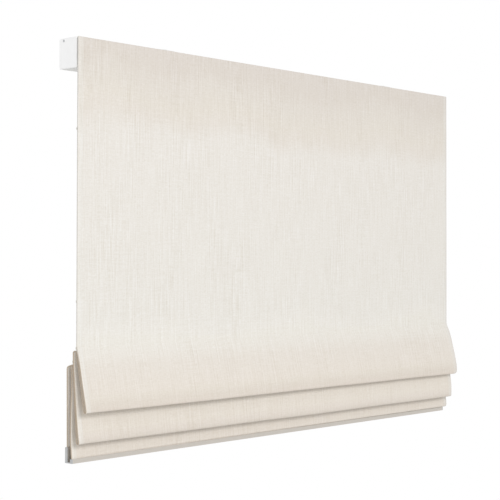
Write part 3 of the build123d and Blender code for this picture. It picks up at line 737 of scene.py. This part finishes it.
def foldRoute(x):
    share = farShare(x)

    def at(name):
        return mixed(*folds[name], share)

    wobble, wobbleLow = footWave(x, folds["footWaves"]), footWave(x, folds["lowFootWaves"])
    foot = panelFoot / mm
    first = at("firstDepth") + wobble * folds["depthUneven"]
    firstLow = foot - at("firstFoot") + wobble
    firstSpread, firstPitch = at("firstSpread"), at("firstPitch")
    second = at("secondDepth") + wobbleLow * folds["depthUneven"]
    secondLow = foot - at("secondFoot") + wobbleLow
    secondSpread, secondPitch = at("secondSpread"), at("secondPitch")
    crestDepth, crestDrop = folds["crest"]
    crestPitch, crestSpread = folds["crestPitch"], folds["crestSpread"]
    lastDepth, lastDrop = folds["lastCrest"]
    half = clothHalf / mm
    spread = cloth["footSpread"] / mm
    points = [
        (half, foot, spread),
        (half, foot - folds["kink"], spread),
        (first, firstLow, firstSpread),
        (first + firstPitch, firstLow, firstSpread),
        (crestDepth, foot - crestDrop, crestSpread),
        (crestDepth + crestPitch, foot - crestDrop, crestSpread),
        (second, secondLow, secondSpread),
        (second + secondPitch, secondLow, secondSpread),
        (lastDepth, foot - lastDrop, folds["lastSpread"]),
        (folds["backDepth"], foot - folds["backShoulder"], folds["backSpread"]),
        (folds["backDepth"], backFoot / mm, 0.0),
    ]
    firstBend, secondBend = firstPitch * folds["footBend"], secondPitch * folds["footBend"]
    crestBend = crestPitch * folds["crestBend"]
    radii = [
        folds["kinkRadius"], firstBend, firstBend, crestBend, crestBend,
        secondBend, secondBend, crestBend, crestPitch * folds["shoulderBend"],
    ]
    route = roundedRoute(points, radii, folds["legSteps"], folds["cornerSteps"])
    bulge = at("firstBulge")
    bulges = {1: bulge, 3: -bulge * folds["bulgeBehind"], 5: at("secondBulge")}  # by leg
    normals = routeNormals(route)
    secondFrom = at("firstDepth") + firstPitch + folds["behindFirst"]
    placed = []
    run = panelDrop
    for index, (depth, height, wide, leg, part) in enumerate(route):
        if index:
            run += math.hypot(depth - route[index - 1][0], height - route[index - 1][1]) * mm
        swell = bulges.get(leg, 0.0) * (1 - (2 * part - 1) ** 4)
        if x > 0 and depth < secondFrom:
            low = eased(-height, -firstLow - folds["cornerHeight"], -firstLow)
            wide -= folds["firstCornerIn"] * low * low * eased(share, folds["cornerFrom"], 1.0)
        if index < folds["joinStations"]:  # goes on straight from the panel
            away = swell * mm + unevenness(x, run)
            placed.append((depth * mm + away, height * mm, wide * mm))
        else:
            away = swell * mm + unevenness(x, run) * folds["calmer"]
            normal = normals[index]
            placed.append((depth * mm + normal.x * away, height * mm + normal.y * away, wide * mm))
    return placed


def makeFolds():
    columns = columnPlaces(halfWidth - clothHalf, cloth["columns"], (liningEdge,))
    places = [foldRoute(x) for x in columns]
    looks = (finishes["linen"], foldEdge, finishes["lining"], finishes["linen"])
    made, length = sheetMesh(
        "clothFolds", columns, places, clothHalf, looks, False, liningBack, panelDrop)
    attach(made, "fold_stack")
    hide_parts("fabric_folds")


makeFolds()
print("folds made")

# the lowest strip, which ends in the front lip of the bottom rail
hem = {
    "line": (  # depth, drop and spread at the near and at the far edge, in mm
        ((15.5, 36.6, 0.6), (15.5, 36.6, 1.0)),
        ((12.9, 48.0, 1.0), (12.0, 52.0, 1.6)),
        ((12.6, 76.0, 1.2), (9.5, 90.0, 2.8)),
        ((14.3, 105.0, 1.4), (7.4, 126.0, 3.8)),
        ((14.9, 142.0, 1.5), (5.4, 156.0, 5.0)),
        ((12.9, 168.0, 1.6), (4.6, 169.0, 6.0)),
        ((12.5, 174.0, 1.5), (6.2, 174.6, 6.0)),
        ((12.5, 176.4, 1.2), (11.4, 176.1, 2.5)),
        ((12.5, 180.0, 0.0), (12.5, 180.0, 0.0)),
    ),
    "stations": 72,
    "half": 0.0009,  # half its thickness
    "unevenFrom": 1.3,  # where its unevenness starts in the noise
    "unevenStep": 0.003,
}


def smoothLine(points, count):
    # an even run of places through the points, by a curve that passes through each of them
    made = []
    for index in range(count):
        place = index / (count - 1) * (len(points) - 1)
        k = min(int(place), len(points) - 2)
        t = place - k
        a, b, c, d = (points[max(0, min(len(points) - 1, k + step))] for step in (-1, 0, 1, 2))
        made.append(tuple(
            0.5 * (2 * b[i] + (c[i] - a[i]) * t
                   + (2 * a[i] - 5 * b[i] + 4 * c[i] - d[i]) * t * t
                   + (3 * b[i] - a[i] - 3 * c[i] + d[i]) * t ** 3)
            for i in range(3)))
    return made


def makeHem():
    columns = columnPlaces(halfWidth - hem["half"], cloth["columns"], (liningEdge,))
    places = []
    for x in columns:
        share = farShare(x)
        points = []
        for near, far in hem["line"]:
            depth, drop, spread = (mixed(a, b, share) for a, b in zip(near, far))
            points.append((depth * mm, panelFoot - drop * mm, spread * mm))
        column = []
        for k, (depth, height, spread) in enumerate(smoothLine(points, hem["stations"])):
            free = math.sin(math.pi * k / (hem["stations"] - 1))
            uneven = unevenness(x, hem["unevenFrom"] + k * hem["unevenStep"])
            column.append((depth + uneven * free, height, spread))
        places.append(column)
    looks = (hemLinen, foldEdge, finishes["lining"], hemLinen)
    made, length = sheetMesh(
        "hemLayer", columns, places, hem["half"], looks, True, liningBack, hemTones[0][0])
    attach(made, "fold_stack")
    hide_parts("fabric_folds")


makeHem()
print("hem layer made")

# one strip of lining round each rod, with its two edges sewn to the cloth
sleeve = {
    "half": 0.00022,  # half its thickness
    "radius": 0.00243,
    "neck": 0.0003,  # half the gap where the strip closes under the rod
    "neckOpen": 1.6,  # the round part ends at this many necks
    "flap": 0.0030,
    "flapFlat": 0.6,  # share of the flap that lies flat
    "lift": 0.00004,  # between the flaps and the cloth
    "heel": (0.00002, 0.00085),  # the flap rises here: further away, and sideways
    "ankle": (0.00045, 0.0002),  # away, and sideways from the neck
    "neckTop": 0.0009,
    "turnSteps": 26,
    "columns": 90,
    "endGap": 0.001,  # shorter than the pocket of the CAD at each end
    "seat": 0.0003,  # the cloth is this far below the pocket's box
    "uneven": 0.00012,
    "waves": 14.0,  # per metre
    "wavesApart": 3.1,
    "stitchPitch": 0.0062,
    "stitchLength": 0.0034,
    "stitchRadius": 0.00016,
    "stitchLine": 0.0019,  # from the middle of the rod
    "stitchLift": 0.0001,
}

# share along a stitch, and its size there; it is thin where it enters the cloth
stitchForm = ((0.0, 0.35), (0.18, 0.9), (0.5, 1.0), (0.82, 0.9), (1.0, 0.35))
stitchSides = 6


def sleeveSection(reach, x, seed):
    # (away from the cloth, sideways) round the rod, from one sewn flap to the other
    wave = sleeve["uneven"] * noise.noise(Vector((x * sleeve["waves"], seed, 1.0)))
    radius = sleeve["radius"] + wave
    lift = sleeve["half"] + sleeve["lift"]
    foot = [
        (lift, sleeve["flap"]),
        (lift, sleeve["flap"] * sleeve["flapFlat"]),
        (lift + sleeve["heel"][0], sleeve["heel"][1]),
        (sleeve["ankle"][0], sleeve["neck"] + sleeve["ankle"][1]),
        (sleeve["neckTop"], sleeve["neck"]),
    ]
    start = math.asin(sleeve["neck"] * sleeve["neckOpen"] / radius)
    bend = []
    for step in range(sleeve["turnSteps"] + 1):
        angle = math.pi - start - (2 * math.pi - 2 * start) * step / sleeve["turnSteps"]
        bend.append((reach + radius * math.cos(angle), radius * math.sin(angle)))
    return foot + bend + [(away, -sideways) for away, sideways in reversed(foot)]


def stitchRow(name, ends, radius):
    # each stitch is a short round thread between two points
    vertices, faces = [], []
    sides = stitchSides
    lastRow = len(stitchForm) - 1
    for start, stop in ends:
        along = (stop - start).normalized()
        across = along.orthogonal().normalized()
        other = along.cross(across)
        base = len(vertices)
        for share, size in stitchForm:
            centre = start.lerp(stop, share)
            for side in range(sides):
                angle = 2 * math.pi * side / sides
                arm = across * math.cos(angle) + other * math.sin(angle)
                vertices.append(tuple(centre + arm * radius * size))
        for row in range(lastRow):
            for side in range(sides):
                a = base + row * sides + side
                b = base + row * sides + (side + 1) % sides
                faces.append((a, b, b + sides, a + sides))
        faces.append(tuple(base + side for side in reversed(range(sides))))
        faces.append(tuple(base + lastRow * sides + side for side in range(sides)))
    return intoScene(name, smoothMesh(name, vertices, faces, (thread,)))


def makeSleeve(index, body):
    low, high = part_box(f"rod_pocket_{index}")
    rodLow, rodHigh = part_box(f"rod_{index}")
    axis = (rodLow + rodHigh) / 2
    onCrest = high.z - low.z > high.y - low.y  # sewn on top of a fold, or else behind the cloth
    seat = (low.z if onCrest else low.y) - sleeve["seat"]
    reach = (axis.z if onCrest else axis.y) - seat
    half = high.x - sleeve["endGap"]

    def sewn(away, sideways):
        # Y and Z of a place on the sleeve
        if onCrest:
            return axis.y + sideways, seat + away
        return seat + away, axis.z + sideways

    columns = columnPlaces(half, sleeve["columns"])
    places = []
    for x in columns:
        column = []
        for away, sideways in sleeveSection(reach, x, index * sleeve["wavesApart"]):
            y, z = sewn(away, -sideways if onCrest else sideways)  # so that both are wound alike
            column.append((y - faceY, z, 0.0))
        places.append(column)
    looks = (finishes["lining"],) * 4
    made, width = sheetMesh(f"rodSleeve{index}", columns, places, sleeve["half"], looks)
    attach(made, body)
    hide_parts(f"rod_pocket_{index}")

    ends = []
    count = int(2 * half / sleeve["stitchPitch"])
    reachHalf = sleeve["stitchLength"] / 2
    for step in range(count):
        x = -half + (step + 0.5) * 2 * half / count
        for side in (-1, 1):
            place = sewn(2 * sleeve["half"] + sleeve["stitchLift"], side * sleeve["stitchLine"])
            ends.append((Vector((x - reachHalf, *place)), Vector((x + reachHalf, *place))))
    stitches = stitchRow(f"sleeveStitches{index}", ends, sleeve["stitchRadius"])
    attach(stitches, body)


for index, body in enumerate(("upper_rod", "lower_rod", "fold_stack", "fold_stack"), start=1):
    makeSleeve(index, body)
print("rod sleeves made")

# the slanted stitches that hold the lining to the back of the flat cloth
slipStitch = {
    "pitch": 0.013,
    "length": 0.0032,
    "slant": 0.6,  # height of a stitch, as a share of its length
    "lean": 0.0011,  # half its width
    "radius": 0.00018,
    "lift": 0.0002,
    "footGap": 0.004,
}


def liningStitches(name, body, top, foot, backY):
    ends = []
    count = int((top - foot) / slipStitch["pitch"])
    for side in (-1, 1):
        x = side * liningEdge
        lean = side * slipStitch["lean"]
        for step in range(count):
            z = top - (step + 0.5) * slipStitch["pitch"]
            low = z - slipStitch["length"] * slipStitch["slant"]
            ends.append((Vector((x - lean, backY, z)), Vector((x + lean, backY, low))))
    made = stitchRow(name, ends, slipStitch["radius"])
    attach(made, body)
    return made


panelStitches = liningStitches(
    "panelStitches", "headrail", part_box("headrail_channel")[0].z,
    panelFoot + slipStitch["footGap"], panelHigh.y + slipStitch["lift"])
for piece in (panel, panelStitches):
    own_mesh(piece)
print("stitches made")


studio = {
    "floorHeight": -1.3,
    "floorHalf": 2.1,
    "floorTone": (0.93, 0.93, 0.925, 1),
    "floorRough": 0.9,
    "floorSpecular": 0.1,
    "ambient": 0.62,
    "white": (1, 1, 1, 1),
    "keyPlace": (-2.16, -7.15, 2.67),
    "keySize": 3.0,
    "keyPower": 230.0,
    "fillPlace": (-6.6, -1.63, -1.2),
    "fillSize": 2.4,
    "fillPower": 110.0,
    "aim": (0.0, -0.04, -0.3),
}


def makeFloor():
    half, z = studio["floorHalf"], studio["floorHeight"]
    mesh = bpy.data.meshes.new("studioFloor")
    corners = [(-half, -half, z), (half, -half, z), (half, half, z), (-half, half, z)]
    mesh.from_pydata(corners, [], [(0, 1, 2, 3)])
    pale, _, shader = finish("floorPale", studio["floorRough"], specular=studio["floorSpecular"])
    shader.inputs["Base Color"].default_value = studio["floorTone"]
    mesh.materials.append(pale)
    intoScene("studioFloor", mesh)


def areaLight(name, place, size, power):
    data = bpy.data.lights.new(name, "AREA")
    data.shape = "DISK"
    data.size = size
    data.energy = power
    lamp = intoScene(name, data)
    lamp.location = place
    sight = Vector(studio["aim"]) - Vector(place)
    lamp.rotation_euler = sight.to_track_quat("-Z", "Y").to_euler()


def lightWorld():
    # soft light on the blind, and plain white where the camera, gloss or glass sees past it
    world = bpy.data.worlds.new("studioWorld")
    bpy.context.scene.world = world
    world.use_nodes = True
    tree = world.node_tree
    soft = tree.nodes["Background"]
    soft.inputs["Color"].default_value = studio["white"]
    soft.inputs["Strength"].default_value = studio["ambient"]
    white = tree.nodes.new("ShaderNodeBackground")
    white.inputs["Color"].default_value = studio["white"]
    white.inputs["Strength"].default_value = 1.0
    rays = tree.nodes.new("ShaderNodeLightPath")
    mirrored = sums(tree, "MAXIMUM", rays.outputs["Is Glossy Ray"],
                    rays.outputs["Is Transmission Ray"])
    seen = sums(tree, "MAXIMUM", rays.outputs["Is Camera Ray"], mirrored)
    mix = tree.nodes.new("ShaderNodeMixShader")
    tree.links.new(seen, mix.inputs[0])
    tree.links.new(soft.outputs[0], mix.inputs[1])
    tree.links.new(white.outputs[0], mix.inputs[2])
    tree.links.new(mix.outputs[0], tree.nodes["World Output"].inputs["Surface"])


makeFloor()
areaLight("keyLight", studio["keyPlace"], studio["keySize"], studio["keyPower"])
areaLight("fillLight", studio["fillPlace"], studio["fillSize"], studio["fillPower"])
lightWorld()
bpy.context.scene.view_settings.view_transform = "Standard"
print("light set")
